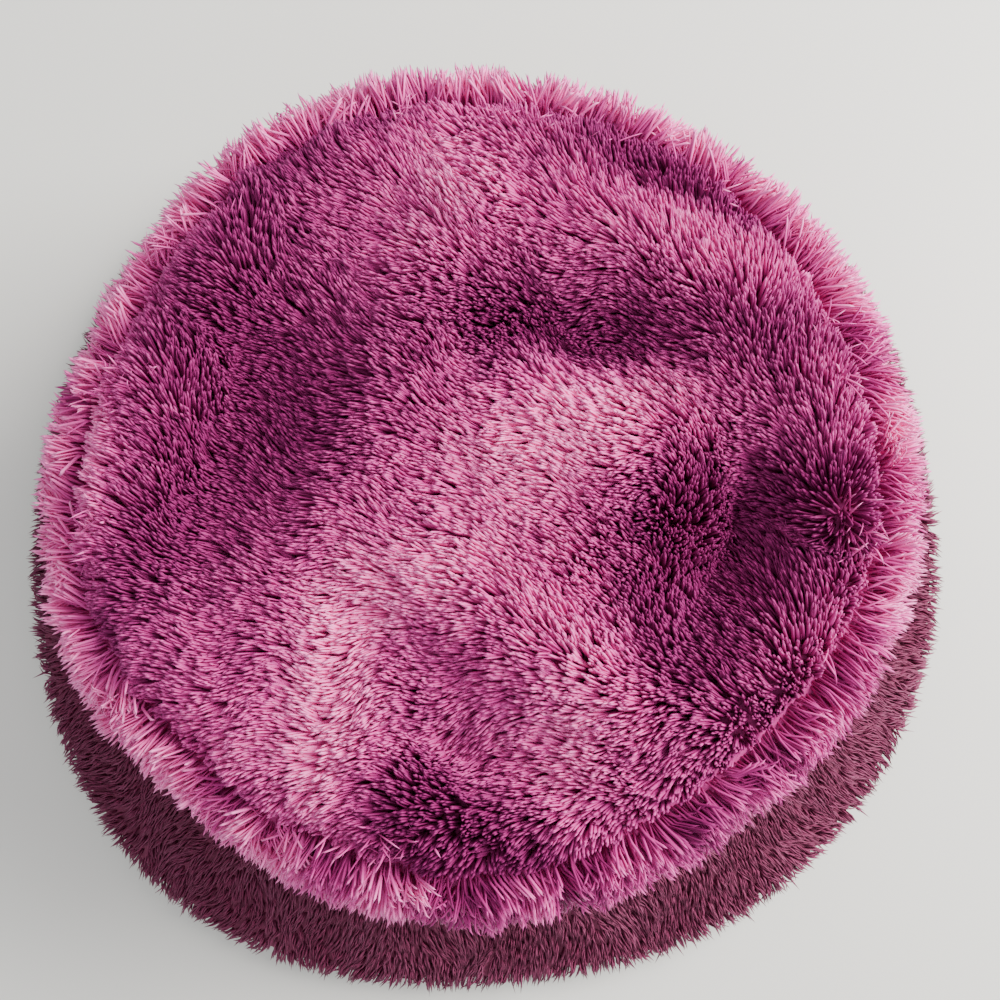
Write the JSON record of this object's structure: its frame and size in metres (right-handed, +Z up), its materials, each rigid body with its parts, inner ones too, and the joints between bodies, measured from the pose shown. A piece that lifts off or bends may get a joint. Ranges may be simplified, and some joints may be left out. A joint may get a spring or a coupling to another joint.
{
  "type": "bucket hat",
  "caption": "Lined bucket hat of long-pile plush: a slumped round crown over a wide sloping brim, with a ribbon sweatband inside.",
  "frame": {"origin": "on the surface that the brim stands on, under the middle of the brim", "axes": "+Z up through the crown, -Y to the front of the hat, +X to the right as seen from the front"},
  "size_m": [0.296, 0.296, 0.1102],
  "materials": {
    "crown_plush": "long-pile polyester plush, purple with pale pink tips, brushed",
    "brim_plush": "long-pile polyester plush, purple, lying flatter than on the crown",
    "lining": "plain-woven satin",
    "ribbon": "ribbed grosgrain",
    "interlining": "stiff non-woven felt",
    "thread": "twisted polyester sewing thread",
    "label": "blank woven tape"
  },
  "bodies": {
    "root": {"crown_tip": "crown_plush", "crown_side_front": "crown_plush", "crown_side_back": "crown_plush", "tip_seam_thread": "thread", "crown_seam_thread_left": "thread", "crown_seam_thread_right": "thread", "brim_upper_front": "brim_plush", "brim_upper_back": "brim_plush", "brim_under_front": "brim_plush", "brim_under_back": "brim_plush", "brim_interlining_front": "interlining", "brim_interlining_back": "interlining", "brim_upper_seam_thread_left": "thread", "brim_upper_seam_thread_right": "thread", "brim_under_seam_thread_left": "thread", "brim_under_seam_thread_right": "thread", "brim_edge_thread": "thread", "brim_join_thread": "thread", "tip_lining": "lining", "side_lining_front": "lining", "side_lining_back": "lining", "lining_seam_thread_left": "thread", "lining_seam_thread_right": "thread", "sweatband": "ribbon", "sweatband_thread": "thread", "care_label": "label", "size_tab": "label"}
  },
  "joints": []
}
